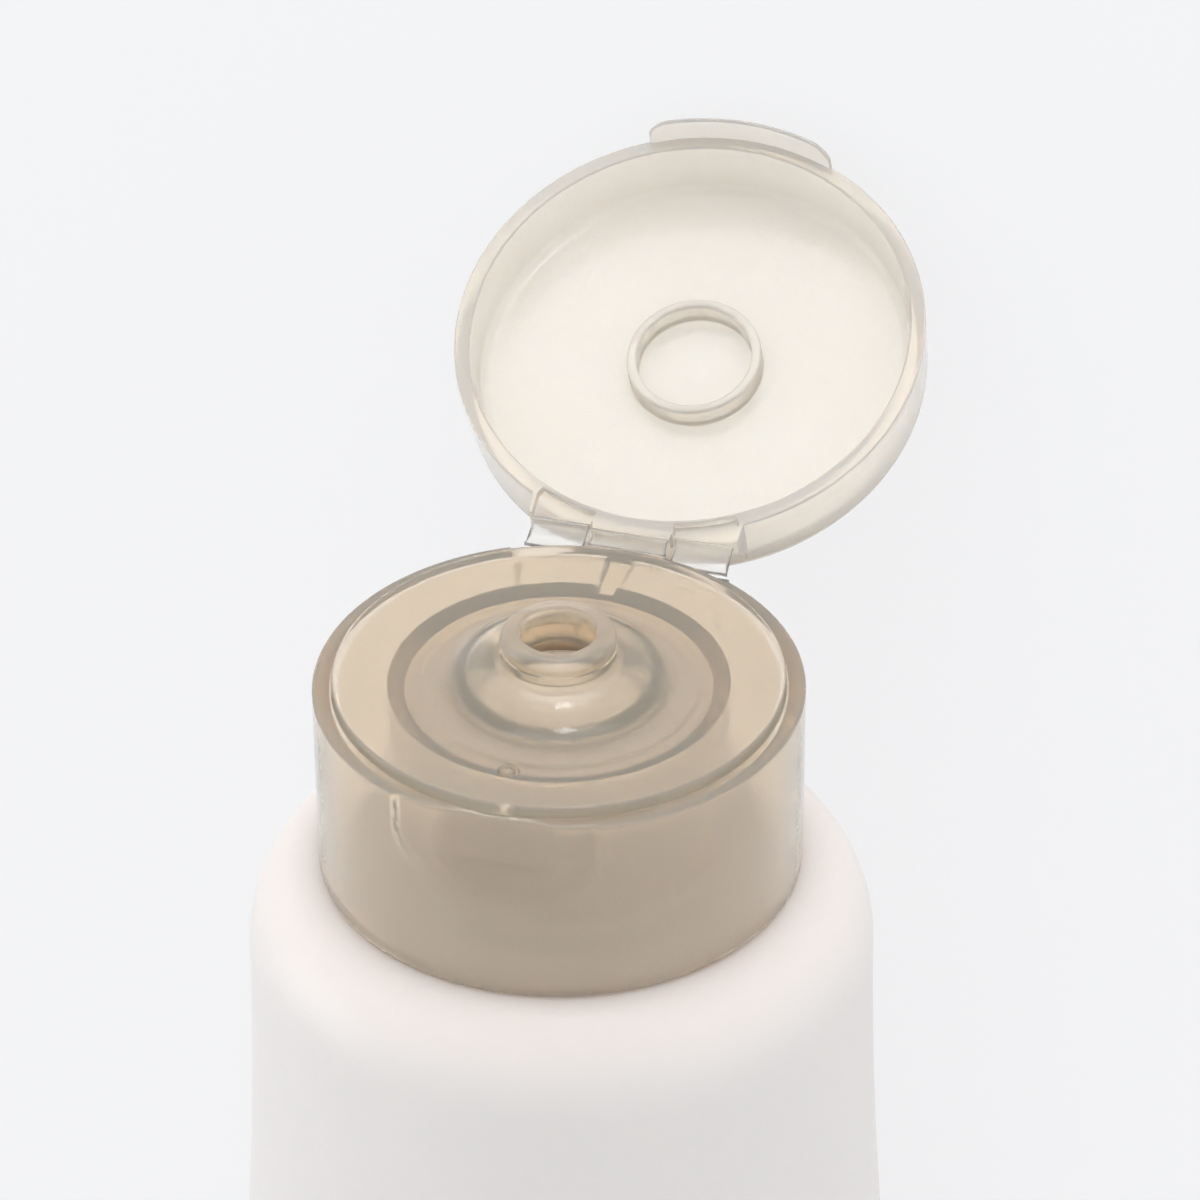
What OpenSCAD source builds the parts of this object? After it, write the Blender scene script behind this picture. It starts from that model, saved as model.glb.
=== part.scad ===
// Squeeze tube for face wash with a flip-top cap, lid open, lying on its back.
// The tube's own frame has its origin on the axis at the lid's seat, z towards the
// nozzle and y towards the hinge. laid_down() turns that frame to the resting place.

/* [Cap base] */
// Outer diameter of the cap at the lid's seat
cap_d = 38; // [34:0.5:42]
// Height of the skirt below the lid's seat
skirt_h = 16; // [15:0.5:20]
// Wall of the skirt
skirt_wall = 1.4; // [1:0.1:1.7]
// Loss of radius from the skirt's top to its foot
skirt_draft = 0.15; // [0:0.05:0.4]
// Radius of the skirt's upper outer edge
skirt_edge_r = 0.28; // [0.1:0.02:0.4]
// Radius of the skirt's lower outer edge
foot_edge_r = 0.3; // [0.1:0.05:0.5]
// Height of the raised deck above the lid's seat
deck_rise = 0.9; // [0.5:0.1:1.2]
// Radius of the deck's edge
deck_edge_r = 0.3; // [0.1:0.05:0.4]
// Thickness of the deck
deck_t = 1.5; // [1.2:0.1:1.9]
// Wall of the inner skirt that grips the neck
grip_wall = 1.3; // [1:0.1:1.8]
// Depth of the inner skirt below the deck
grip_h = 12.3; // [9:0.1:13]
// Depth of the ledge in the inner skirt's root, which the neck's mouth seats under
ledge_h = 1; // [0.6:0.1:1.4]
// Width of that ledge inside the inner skirt
ledge_w = 1; // [0.6:0.1:1.6]
// Chamfer that leads the inner skirt on to the neck
lead_in = 0.5; // [0.2:0.1:0.7]
// Outer diameter of the sealing ring that plugs the neck
seal_d = 14.8; // [14:0.2:16]
// Wall of the sealing ring
seal_wall = 0.8; // [0.6:0.1:1.2]
// Depth of the sealing ring below the deck
seal_h = 3; // [2:0.1:4]

/* [Nozzle] */
// Outer diameter of the nozzle
nozzle_d = 9; // [8:0.1:10]
// Bore of the nozzle
bore_d = 5.92; // [4:0.02:6.5]
// Height of the nozzle above the deck
nozzle_h = 4.1; // [3.5:0.1:4.3]
// Length of the nozzle's bore
bore_len = 3.2; // [2.6:0.1:3.4]
// Outer radius of the mound round the nozzle
mound_r = 9.5; // [8:0.1:10.5]
// Height of the mound above the deck
mound_h = 2; // [1.2:0.1:2.2]
// Depth of the fine groove round the nozzle
groove_depth = 0.12; // [0.05:0.01:0.2]

/* [Thumb recess] */
// Depth of the flat recess at the cap's front
recess_depth = 1; // [0.5:0.05:1.1]
// Height of the flat part of the recess
recess_h = 4.1; // [3:0.1:5]
// Height of the slope below it
recess_slope_h = 2.5; // [1.5:0.1:4]
// Height of the shallow dent's lower edge below that slope
dent_below = 2.4; // [1.5:0.1:3]
// Radius of the lower corners of the dent, which the tab drops into
dent_corner_r = 6.5; // [3:0.5:7]
// Thickness of the pad that backs the recess inside the skirt
pad_t = 0.6; // [0.3:0.1:0.8]

/* [Lid] */
// Depth inside the lid
lid_depth = 5.5; // [5.4:0.1:7]
// Thickness of the lid's top
lid_top_t = 1.6; // [1.2:0.1:2.4]
// Wall of the lid at its rim
lid_wall = 1.27; // [1:0.01:1.5]
// Loss of radius from the lid's rim to its top
lid_draft = 0.3; // [0:0.05:0.6]
// Radius of the lid's outer top edge
lid_edge_r = 1.6; // [0.8:0.1:2.2]
// Radius of the corner inside the lid
lid_corner_r = 0.8; // [0.3:0.1:1.2]
// Radius of the edges of the lid's rim
rim_edge_r = 0.15; // [0.1:0.05:0.3]
// Wall of the plug ring inside the lid
plug_wall = 0.8; // [0.6:0.1:1]
// Height of the plug ring
plug_h = 2; // [1.2:0.1:2.2]
// Radius of the plug ring's edges
plug_edge_r = 0.22; // [0.1:0.02:0.28]
// Width of the finger tab
tab_w = 15.2; // [10:0.2:16]
// Length of the finger tab below the rim
tab_drop = 2.4; // [1.5:0.1:3]
// Thickness of the finger tab
tab_t = 0.35; // [0.3:0.05:0.6]
// Distance that the finger tab stands proud of the lid's wall
tab_proud = 0.15; // [0.05:0.01:0.2]
// Radius of the finger tab's corners
tab_corner_r = 1.7; // [0.5:0.1:1.9]

/* [Hinge] */
// Angle that the lid stands open from closed
open_angle = 155.5; // [120:0.5:165]
// Distance of the hinge axis outside the cap's rim
axis_out = 0.85; // [0.7:0.05:1.2]
// Height of the hinge axis above the lid's seat
axis_up = 0.15; // [0:0.05:0.5]
// Distance of the film wings' roots inside the cap's rim
wing_in = 0.3; // [0.2:0.05:0.5]
// Distance that the strap's block stands out past the cap's rim
block_out = 0.25; // [0.1:0.05:0.35]
// Width over both film wings
hinge_w = 17.2; // [14:0.2:18]
// Width of the middle strap
strap_w = 6.4; // [5:0.2:7]
// Thickness of the film
film_t = 0.3; // [0.2:0.05:0.4]

/* [Tube] */
// Diameter of the round end of the sleeve
tube_d = 49; // [46:0.5:54]
// Distance from the lid's seat to the crimped end
tube_len = 160; // [130:1:190]
// Wall of the sleeve
tube_wall = 0.55; // [0.4:0.05:0.8]
// Thickness of the crimp
crimp_t = 1.2; // [1:0.1:1.8]
// Length of the crimp
crimp_h = 8; // [5:0.5:12]
// Height of the rounded shoulder
shoulder_h = 8; // [6:0.5:11]
// Thickness of the shoulder
shoulder_t = 1.5; // [1:0.1:2]
// Outer diameter of the neck
neck_d = 23.2; // [21:0.2:23.4]
// Bore of the neck
neck_bore_d = 19.6; // [17:0.2:20]
// Share of the sleeve's taper that the face wash fills
fill_share = 0.86; // [0.5:0.02:0.9]

/* [Clearances] */
// Gap between the lid's rim and its seat, and at the nozzle's plug ring
seat_gap = 0.15; // [0.1:0.05:0.2]
// Gap between the lid's wall and the deck's edge
deck_gap = 0.17; // [0.12:0.01:0.3]
// Gap round the finger tab
tab_gap = 0.12; // [0.08:0.01:0.3]
// Gap between the neck and the inner skirt
neck_gap = 0.3; // [0.2:0.05:0.5]
// Gap between the sealing ring and the neck's mouth
seal_gap = 0.1; // [0.05:0.01:0.2]
// Gap between the face wash and the tube
fill_gap = 0.3; // [0.2:0.05:0.5]

/* [Hidden] */

$fn = 96;
sides = 48;

beige = [0.80, 0.75, 0.67];
pale_beige = [0.90, 0.87, 0.81];
clear_film = [0.95, 0.95, 0.94];
milk = [0.93, 0.92, 0.92];
cream = [0.98, 0.97, 0.95];

cap_r = cap_d / 2;
deck_z = deck_rise;
under_z = deck_rise - deck_t;
lid_rim_r = cap_r - lid_wall;
deck_foot_r = lid_rim_r - deck_gap;
deck_top_r = deck_foot_r - 0.14;
skirt_foot_r = cap_r - skirt_draft;

nozzle_r = nozzle_d / 2;
bore_r = bore_d / 2;
nozzle_z = deck_z + nozzle_h;
bore_z = nozzle_z - bore_len;
lip_in_r = 0.3;
lip_out_r = 0.85;
mound_top_r = nozzle_r + 0.5;

neck_r = neck_d / 2;
neck_z = under_z - ledge_h - 0.1;
neck_land_t = 1.3;
grip_in_r = neck_r + neck_gap;
grip_out_r = grip_in_r + grip_wall;
ledge_r = grip_in_r - ledge_w;
seal_out_r = seal_d / 2;
seal_in_r = seal_out_r - seal_wall;
mouth_r = seal_out_r + seal_gap;

// The flat recess is a chord of the skirt, and the pocket above it is concentric.
recess_y = -(cap_r - recess_depth);
tab_out_r = cap_r + tab_proud;
tab_in_r = tab_out_r - tab_t;
pocket_r = tab_in_r - tab_gap;
dent_z = -recess_h - recess_slope_h - dent_below;

plug_in_r = nozzle_r + seat_gap;
plug_out_r = plug_in_r + plug_wall;
lid_ceiling_z = seat_gap + lid_depth;
lid_top_z = lid_ceiling_z + lid_top_t;
lid_top_r = cap_r - lid_draft;

axis_y = cap_r + axis_out;
axis_z = axis_up;
wing_y = cap_r - wing_in;
block_y = cap_r + block_out;
base_wing_z = -1.3;
base_wing_h = 4;
base_block_z = -0.6;
base_block_h = 3;
lid_wing_h = 4.5;
lid_block_h = 4;
block_root = 4;
block_slope = 2.2;
block_bite = 0.8;
pocket_t = 0.5;
wing_gap = 0.2;
strap_gap = 0.12;
strap_lid_gap = 0.22;
rib_w = 1.7;
rib_h = 1.8;

gate_place = [-0.15, -13.1];
gate_r = 0.8;
gate_depth = 0.2;

tube_r = tube_d / 2;
shoulder_z = -skirt_h - 0.15;
shoulder_r = cap_r - 0.7;
wall_z = shoulder_z - shoulder_h;
crimp_z = -tube_len + crimp_h;
crimp_half_w = tube_r * PI / 2;

// Half depth of the sleeve, which thins as a parabola from round to the crimp.
function half_depth(u) = crimp_t / 2 + (tube_r - crimp_t / 2) * (1 - u * u);
// Half width of an ellipse that keeps the round sleeve's girth at half depth b.
function half_width(b) = sqrt(2 * tube_r * tube_r - b * b) * (1 + 0.1107 * pow(1 - b / tube_r, 1.2));
function arc(cx, cz, r, from, to, n = 6) =
    [for (i = [0:n]) let (a = from + (to - from) * i / n) [cx + r * cos(a), cz + r * sin(a)]];
// A point of the closed lid, as [y, z], turned open about the hinge axis.
function opened(p) = let (y = p[0] - axis_y, z = p[1] - axis_z)
    [axis_y + y * cos(open_angle) + z * sin(open_angle), axis_z - y * sin(open_angle) + z * cos(open_angle)];

// Resting place: the lid's far edge and the back of the crimp both touch the floor.
edge_centre = opened([-(lid_top_r - lid_edge_r), lid_top_z - lid_edge_r]);
reach_y = edge_centre[0] - crimp_t / 2;
reach_z = edge_centre[1] + tube_len;
rest_tilt = atan2(reach_y, reach_z) + asin(lid_edge_r / norm([reach_y, reach_z]));
function along(p) = sin(rest_tilt) * p[0] + cos(rest_tilt) * p[1];
function above(p) = sin(rest_tilt) * p[1] - cos(rest_tilt) * p[0];
tab_tip = [for (r = [tab_in_r, tab_out_r]) along(opened([-r, seat_gap - tab_drop]))];
row_y = (max(tab_tip) + along([-crimp_t / 2, -tube_len])) / 2;
row_z = above([crimp_t / 2, -tube_len]);

module laid_down() {
    translate([0, -row_y, -row_z])
        rotate([rest_tilt - 90, 0, 0])
            children();
}

module lid_opened() {
    translate([0, axis_y, axis_z])
        rotate([-open_angle, 0, 0])
            translate([0, -axis_y, -axis_z])
                children();
}

// A shape drawn in y and z, carried along x.
module across(w) {
    rotate([90, 0, 90])
        linear_extrude(height = w, center = true)
            children();
}

// Skin over a stack of ellipses, each [half width, half depth, z], from top to bottom.
module loft(rings) {
    last = len(rings) - 1;
    points = [for (s = rings, j = [0:sides - 1]) let (a = 360 * j / sides)
        [s[0] * cos(a), s[1] * sin(a), s[2]]];
    top = [[for (j = [sides - 1:-1:0]) j]];
    foot = [[for (j = [0:sides - 1]) last * sides + j]];
    upper = [for (i = [0:last - 1], j = [0:sides - 1]) let (k = (j + 1) % sides)
        [i * sides + j, i * sides + k, (i + 1) * sides + k]];
    lower = [for (i = [0:last - 1], j = [0:sides - 1]) let (k = (j + 1) % sides)
        [i * sides + j, (i + 1) * sides + k, (i + 1) * sides + j]];
    polyhedron(points, concat(top, foot, upper, lower), convexity = 4);
}

// Rounded shoulder and tapering sleeve, set inwards by a wall, down to a share of the taper.
function sleeve_rings(inset, drop, share) = concat(
    [for (i = [0:6]) let (a = 90 - 15 * i, r = shoulder_r + (tube_r - shoulder_r) * cos(a) - inset)
        [r, r, shoulder_z - drop - (shoulder_h - drop) * (1 - sin(a))]],
    [for (i = [1:20]) let (u = share * i / 20, b = half_depth(u))
        [half_width(b) - inset, b - inset, wall_z + u * (crimp_z - wall_z)]]);

// Last ring of the sleeve, just inside the crimp.
crimp_ring = [[crimp_half_w - 0.3, crimp_t / 2 - 0.05, crimp_z - 0.5]];

module neck_outside() {
    translate([0, 0, shoulder_z - shoulder_t / 2])
        cylinder(r = neck_r, h = neck_z - shoulder_z + shoulder_t / 2);
    translate([0, 0, under_z - grip_h + 1.6])
        rotate_extrude()
            translate([neck_r - 0.35, 0])
                circle(r = 0.5, $fn = 32);
}

module tube_body() {
    color(milk)
        laid_down()
            difference() {
                union() {
                    loft(concat(sleeve_rings(0, 0, 1), crimp_ring));
                    translate([-crimp_half_w, -crimp_t / 2, -tube_len])
                        cube([2 * crimp_half_w, crimp_t, crimp_h]);
                    neck_outside();
                }
                loft(sleeve_rings(tube_wall, shoulder_t, 0.985));
                translate([0, 0, shoulder_z - 2 * shoulder_t])
                    cylinder(d = neck_bore_d, h = neck_z - neck_land_t - shoulder_z + 2 * shoulder_t);
                translate([0, 0, neck_z - 2 * neck_land_t])
                    cylinder(r = mouth_r, h = 3 * neck_land_t);
            }
}

module cream_fill() {
    seal_foot_z = under_z - seal_h;
    neck_fill_z = shoulder_z - 2 * shoulder_t;
    color(cream)
        laid_down() {
            loft(sleeve_rings(tube_wall + fill_gap, shoulder_t + fill_gap, fill_share));
            translate([0, 0, neck_fill_z])
                cylinder(r = neck_bore_d / 2 - fill_gap, h = seal_foot_z - fill_gap - neck_fill_z);
            translate([0, 0, seal_foot_z - 2 * fill_gap])
                cylinder(r = seal_in_r - fill_gap, h = under_z - seal_foot_z + fill_gap);
        }
}

// Half section of the cap base, from the bore up, over the deck, down the skirt and back below.
function cap_section() = concat(
    arc(bore_r + lip_in_r, nozzle_z - lip_in_r, lip_in_r, 180, 90),
    arc(nozzle_r - lip_out_r, nozzle_z - lip_out_r, lip_out_r, 90, 0),
    [for (p = [[0, 0.15], [groove_depth, 0.25], [groove_depth, 0.55], [0, 0.65]])
        [nozzle_r - p[0], nozzle_z - lip_out_r - p[1]]],
    [[nozzle_r, deck_z + mound_h]],
    [for (i = [0:16]) let (share = i / 16)
        [mound_top_r + (mound_r - mound_top_r) * share, deck_z + mound_h * (1 + cos(180 * share)) / 2]],
    arc(deck_top_r - deck_edge_r, deck_z - deck_edge_r, deck_edge_r, 90, 0, 4),
    [[deck_foot_r, 0]],
    arc(cap_r - skirt_edge_r, -skirt_edge_r, skirt_edge_r, 90, 0, 4),
    arc(skirt_foot_r - foot_edge_r, -skirt_h + foot_edge_r, foot_edge_r, 0, -90, 4),
    [[skirt_foot_r - skirt_wall, -skirt_h],
     [cap_r - skirt_wall, under_z - 0.7], [cap_r - skirt_wall - 0.7, under_z],
     [grip_out_r, under_z], [grip_out_r, under_z - grip_h], [grip_in_r + lead_in, under_z - grip_h],
     [grip_in_r, under_z - grip_h + 1.5 * lead_in],
     [grip_in_r, under_z - ledge_h], [ledge_r, under_z - ledge_h], [ledge_r, under_z],
     [seal_out_r, under_z], [seal_out_r, under_z - seal_h + seal_wall / 2],
     [seal_out_r - seal_wall / 3, under_z - seal_h], [seal_in_r, under_z - seal_h],
     [seal_in_r, under_z + 0.9], [nozzle_r + 0.4, bore_z], [bore_r, bore_z]]);

// Straight-backed block behind the round wall, which carries the film's edge.
module hinge_block(w, back_y, from_z, to_z) {
    rise = to_z - from_z;
    difference() {
        across(w)
            polygon([[cap_r - block_root, from_z], [back_y, from_z], [back_y, from_z + rise * 0.35],
                     [cap_r - block_slope, to_z], [cap_r - block_root, to_z]]);
        translate([0, 0, min(from_z, to_z) - 1])
            cylinder(r = cap_r - block_bite, h = abs(rise) + 2);
    }
}

// Outline in x and z of the shallow dent that the finger tab drops into.
module dent_outline() {
    half_w = tab_w / 2 + tab_gap;
    translate([-half_w, dent_z + dent_corner_r])
        square([2 * half_w, 1 - dent_z - dent_corner_r]);
    hang = half_w - dent_corner_r;
    translate([-hang, dent_z])
        square([2 * hang, dent_corner_r + 0.1]);
    for (side = [-1, 1])
        translate([side * hang, dent_z + dent_corner_r])
            circle(r = dent_corner_r);
}

// Shallow dent round the wall, the thumb's flat within it and the slope out of that.
module thumb_recess() {
    difference() {
        translate([0, -cap_r / 2, 0])
            rotate([90, 0, 0])
                linear_extrude(height = cap_r)
                    dent_outline();
        translate([0, 0, dent_z - 1])
            cylinder(r = pocket_r, h = 3 - dent_z);
    }
    across(tab_w)
        polygon([[recess_y, 1], [recess_y, -recess_h], [-pocket_r, -recess_h - recess_slope_h],
                 [-cap_r - 1, -recess_h - recess_slope_h], [-cap_r - 1, 1]]);
}

// Flat pad inside the skirt, which keeps the wall's thickness behind the recess.
module recess_pad() {
    pad_y = -(cap_r - skirt_wall) + pad_t;
    foot_z = -recess_h - recess_slope_h;
    intersection() {
        translate([-tab_w / 2, -cap_r + skirt_wall / 2, foot_z])
            cube([tab_w, cap_r - skirt_wall / 2 + pad_y, under_z - foot_z + 0.2]);
        translate([0, 0, foot_z])
            cylinder(r = cap_r - skirt_wall + 0.1, h = -foot_z);
    }
}

// Small ring left by the mould's gate, with a pip in its middle.
module gate_mark() {
    translate([gate_place[0], gate_place[1], deck_z])
        difference() {
            translate([0, 0, -gate_depth])
                cylinder(r = gate_r, h = 2 * gate_depth, $fn = 48);
            translate([0, 0, -2 * gate_depth])
                cylinder(r = gate_r / 2, h = 2 * gate_depth, $fn = 32);
        }
}

module cap_base() {
    color(beige)
        laid_down() {
            difference() {
                rotate_extrude()
                    polygon(cap_section());
                thumb_recess();
                gate_mark();
                // The rim stands back a little between the film wings.
                difference() {
                    translate([-hinge_w / 2 - 0.2, cap_r - 4, base_wing_z])
                        cube([hinge_w + 0.4, 6, 4]);
                    translate([0, 0, base_wing_z - 1])
                        cylinder(r = cap_r - 0.2, h = 6);
                }
            }
            hinge_block(hinge_w, wing_y, base_wing_z, base_wing_z - base_wing_h);
            hinge_block(strap_w, block_y, base_block_z, base_block_z - base_block_h);
            // Stiffening rib between the two skirts, below the hinge.
            translate([-rib_w / 2, grip_out_r - 0.3, under_z - rib_h])
                cube([rib_w, cap_r - skirt_wall - grip_out_r + 0.6, rib_h + 0.3]);
            recess_pad();
        }
}

// Half section of the closed lid, from its centre down the plug ring and round to the top.
function lid_section() = concat(
    [[0, lid_top_z], [0, lid_ceiling_z], [plug_in_r, lid_ceiling_z]],
    arc(plug_in_r + plug_edge_r, lid_ceiling_z - plug_h + plug_edge_r, plug_edge_r, 180, 270, 4),
    arc(plug_out_r - plug_edge_r, lid_ceiling_z - plug_h + plug_edge_r, plug_edge_r, -90, 0, 4),
    [[plug_out_r, lid_ceiling_z]],
    arc(lid_rim_r - lid_draft - lid_corner_r, lid_ceiling_z - lid_corner_r, lid_corner_r, 90, 0),
    arc(lid_rim_r + rim_edge_r, seat_gap + rim_edge_r, rim_edge_r, 180, 270, 4),
    arc(cap_r - rim_edge_r, seat_gap + rim_edge_r, rim_edge_r, -90, 0, 4),
    arc(lid_top_r - lid_edge_r, lid_top_z - lid_edge_r, lid_edge_r, 0, 90, 10));

// Finger tab: a thin strip that hangs below the lid's rim, with its root faired into the wall.
module finger_tab() {
    root_h = 1.6;
    intersection() {
        rotate_extrude()
            polygon([[tab_in_r, seat_gap - tab_drop - 1], [tab_out_r, seat_gap - tab_drop - 1],
                     [tab_out_r, seat_gap], [cap_r - 0.05, seat_gap + root_h],
                     [tab_in_r, seat_gap + root_h]]);
        translate([0, -cap_r / 2, seat_gap])
            rotate([90, 0, 0])
                linear_extrude(height = cap_r)
                    union() {
                        translate([-tab_w / 2, tab_corner_r - tab_drop])
                            square([tab_w, tab_drop - tab_corner_r + root_h + 0.1]);
                        translate([tab_corner_r - tab_w / 2, -tab_drop])
                            square([tab_w - 2 * tab_corner_r, tab_drop]);
                        for (side = [-1, 1])
                            translate([side * (tab_w / 2 - tab_corner_r), tab_corner_r - tab_drop])
                                circle(r = tab_corner_r, $fn = 48);
                    }
    }
}

// Shallow pocket in the lid's hinge block beside the strap, which the film wing leaves from.
module film_pocket(side) {
    pocket_w = (hinge_w - strap_w) / 2 - 0.4;
    difference() {
        translate([side * (strap_w + 0.4 + pocket_w) / 2 - pocket_w / 2, cap_r - 5, seat_gap - 1])
            cube([pocket_w, 7, pocket_t + 1]);
        translate([0, 0, seat_gap - 2])
            cylinder(r = cap_r - block_bite - 0.1, h = 5);
    }
}

module flip_lid() {
    color(pale_beige)
        laid_down()
            lid_opened()
                difference() {
                    union() {
                        rotate_extrude()
                            polygon(lid_section());
                        hinge_block(hinge_w, wing_y, seat_gap, seat_gap + lid_wing_h);
                        hinge_block(strap_w, block_y, seat_gap, seat_gap + lid_block_h);
                        finger_tab();
                    }
                    film_pocket(-1);
                    film_pocket(1);
                }
}

// A strip of film bowed between two points of y and z, with the given width and place in x.
module bowed_film(from, to, bow, w, x) {
    chord = norm(to - from);
    slope = atan2(to[1] - from[1], to[0] - from[0]);
    bend_r = (chord * chord / 4 + bow * bow) / (2 * bow);
    half = asin(chord / 2 / bend_r);
    middle = (from + to) / 2 + (bend_r - bow) * [-sin(slope), cos(slope)];
    translate([x - w / 2, middle[0], middle[1]])
        rotate([slope, 0, 0])
            rotate([0, 90, 0])
                rotate([0, 0, -half])
                    rotate_extrude(angle = 2 * half)
                        translate([bend_r - film_t / 2, 0])
                            square([film_t, w]);
}

module hinge_web() {
    wing_w = (hinge_w - strap_w) / 2 - 0.6;
    wing_from = [wing_y + wing_gap, base_wing_z + wing_gap];
    wing_to = opened([wing_y, seat_gap + pocket_t]) + [-wing_gap, 0];
    strap_from = [block_y, base_block_z] + [strap_gap, strap_gap];
    strap_to = opened([block_y, seat_gap]) - [strap_lid_gap, 0];
    color(clear_film)
        laid_down() {
            for (side = [-1, 1])
                bowed_film(wing_from, wing_to, 0.35, wing_w, side * ((strap_w + wing_w) / 2 + 0.3));
            bowed_film(strap_from, strap_to, 0.12, strap_w, 0);
        }
}

tube_body();
cream_fill();
cap_base();
hinge_web();
flip_lid();
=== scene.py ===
"""Face wash tube with a translucent flip-top cap: finishes, fine surfaces, floor, light and camera."""
import math

import bpy
import numpy as np
from mathutils import Matrix, Vector


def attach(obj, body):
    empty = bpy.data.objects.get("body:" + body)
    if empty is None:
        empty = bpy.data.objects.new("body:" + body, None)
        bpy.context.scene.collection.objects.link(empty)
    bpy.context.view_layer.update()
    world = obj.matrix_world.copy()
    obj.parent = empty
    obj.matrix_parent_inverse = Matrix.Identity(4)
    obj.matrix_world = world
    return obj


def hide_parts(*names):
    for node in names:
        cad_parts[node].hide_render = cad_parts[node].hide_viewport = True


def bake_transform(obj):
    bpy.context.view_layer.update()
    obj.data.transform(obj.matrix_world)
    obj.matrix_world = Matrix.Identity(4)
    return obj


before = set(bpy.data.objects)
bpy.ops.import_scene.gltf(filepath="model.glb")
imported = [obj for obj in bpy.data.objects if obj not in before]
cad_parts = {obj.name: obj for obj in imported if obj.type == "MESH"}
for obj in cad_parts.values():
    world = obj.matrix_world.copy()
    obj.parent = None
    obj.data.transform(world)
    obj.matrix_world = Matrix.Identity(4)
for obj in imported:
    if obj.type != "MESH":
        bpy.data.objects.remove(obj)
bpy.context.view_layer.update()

# The tube's own frame, in mm: origin on the axis at the lid's seat, z towards the
# nozzle, y towards the hinge. It is laid down by REST_TILT to reach the floor.
REST_TILT = math.radians(18.440325)
ROW_Y = -58.614008
ROW_Z = -51.179877
OPEN_ANGLE = math.radians(155.5)
AXIS_Y = 19.85
AXIS_Z = 0.15


def to_row(points):
    """Tube frame in mm to the CAD's frame in metres: a turn about x, then a shift."""
    p = np.asarray(points, float)
    x, y, z = p[..., 0], p[..., 1], p[..., 2]
    along = math.sin(REST_TILT) * y + math.cos(REST_TILT) * z - ROW_Y
    above = math.sin(REST_TILT) * z - math.cos(REST_TILT) * y - ROW_Z
    return np.stack([x, along, above], -1) / 1000.0


def opened(points):
    """Closed lid to open lid, both in the tube frame: a turn about the hinge axis."""
    p = np.asarray(points, float)
    y, z = p[..., 1] - AXIS_Y, p[..., 2] - AXIS_Z
    c, s = math.cos(OPEN_ANGLE), math.sin(OPEN_ANGLE)
    return np.stack([p[..., 0], AXIS_Y + y * c + z * s, AXIS_Z - y * s + z * c], -1)


def row_direction(v):
    """A direction of the tube frame, in the CAD's frame."""
    turned = to_row(np.array([v, [0.0, 0.0, 0.0]]))
    return (turned[0] - turned[1]) * 1000.0


# Camera
FOCAL_PX = 7809.0
DISTANCE_MM = 600.0
CAMERA_RISE = 0.621
CAMERA_SWING = math.radians(16.42)
CAMERA_ROLL = 0.011
SEAT_PX = (558.0, 682.3)
FRAME_PX = 1200.0


def make_camera():
    """Camera 600 mm from the seat's centre, turned so that the seat falls on its pixel."""
    back = np.array([
        math.cos(CAMERA_RISE) * math.sin(CAMERA_SWING),
        -math.cos(CAMERA_RISE) * math.cos(CAMERA_SWING),
        math.sin(CAMERA_RISE),
    ])
    ahead = -back
    right = np.array([math.cos(CAMERA_SWING), math.sin(CAMERA_SWING), 0.0])
    up = np.cross(right, ahead)
    a = (SEAT_PX[0] - FRAME_PX / 2) / FOCAL_PX
    b = -(SEAT_PX[1] - FRAME_PX / 2) / FOCAL_PX
    n = np.array([a, b, 1.0]) / math.sqrt(a * a + b * b + 1)
    yaw, pitch = math.atan2(n[0], n[2]), math.asin(n[1])
    level = -math.sin(pitch) * up + math.cos(pitch) * ahead
    view = -math.sin(yaw) * right + math.cos(yaw) * level
    side = math.cos(yaw) * right + math.sin(yaw) * level
    top = math.cos(pitch) * up + math.sin(pitch) * ahead
    c, s = math.cos(CAMERA_ROLL), math.sin(CAMERA_ROLL)
    x_axis = row_direction(c * side - s * top)
    y_axis = row_direction(s * side + c * top)
    z_axis = -row_direction(view)
    place = to_row(DISTANCE_MM * back)
    data = bpy.data.cameras.new("photo_camera")
    data.sensor_width = 36.0
    data.lens = FOCAL_PX / FRAME_PX * data.sensor_width
    data.clip_start = 0.02
    data.clip_end = 20.0
    camera = bpy.data.objects.new("photo_camera", data)
    matrix = Matrix.Identity(4)
    for i, axis in enumerate((x_axis, y_axis, z_axis, place)):
        for j in range(3):
            matrix[j][i] = axis[j]
    camera.matrix_world = matrix
    bpy.context.scene.collection.objects.link(camera)
    bpy.context.scene.camera = camera


make_camera()


# Finishes
def new_material(name):
    """An empty node material and its Principled shader."""
    material = bpy.data.materials.new(name)
    material.use_nodes = True
    return material, material.node_tree.nodes["Principled BSDF"]


def cloud(nodes, links, place, scale, detail):
    """Noise on the piece's own coordinates: features of about 1 / scale metres, finer with detail."""
    noise = nodes.new("ShaderNodeTexNoise")
    noise.inputs["Scale"].default_value = scale
    noise.inputs["Detail"].default_value = detail
    links.new(place.outputs["Object"], noise.inputs["Vector"])
    return noise.outputs["Fac"]


def spread(nodes, links, value, low, high):
    """Carries noise from its usual 0.3 to 0.7 over to a low and a high value."""
    span = nodes.new("ShaderNodeMapRange")
    span.inputs["From Min"].default_value = 0.3
    span.inputs["From Max"].default_value = 0.7
    span.inputs["To Min"].default_value = low
    span.inputs["To Max"].default_value = high
    links.new(value, span.inputs["Value"])
    return span.outputs["Result"]


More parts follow.
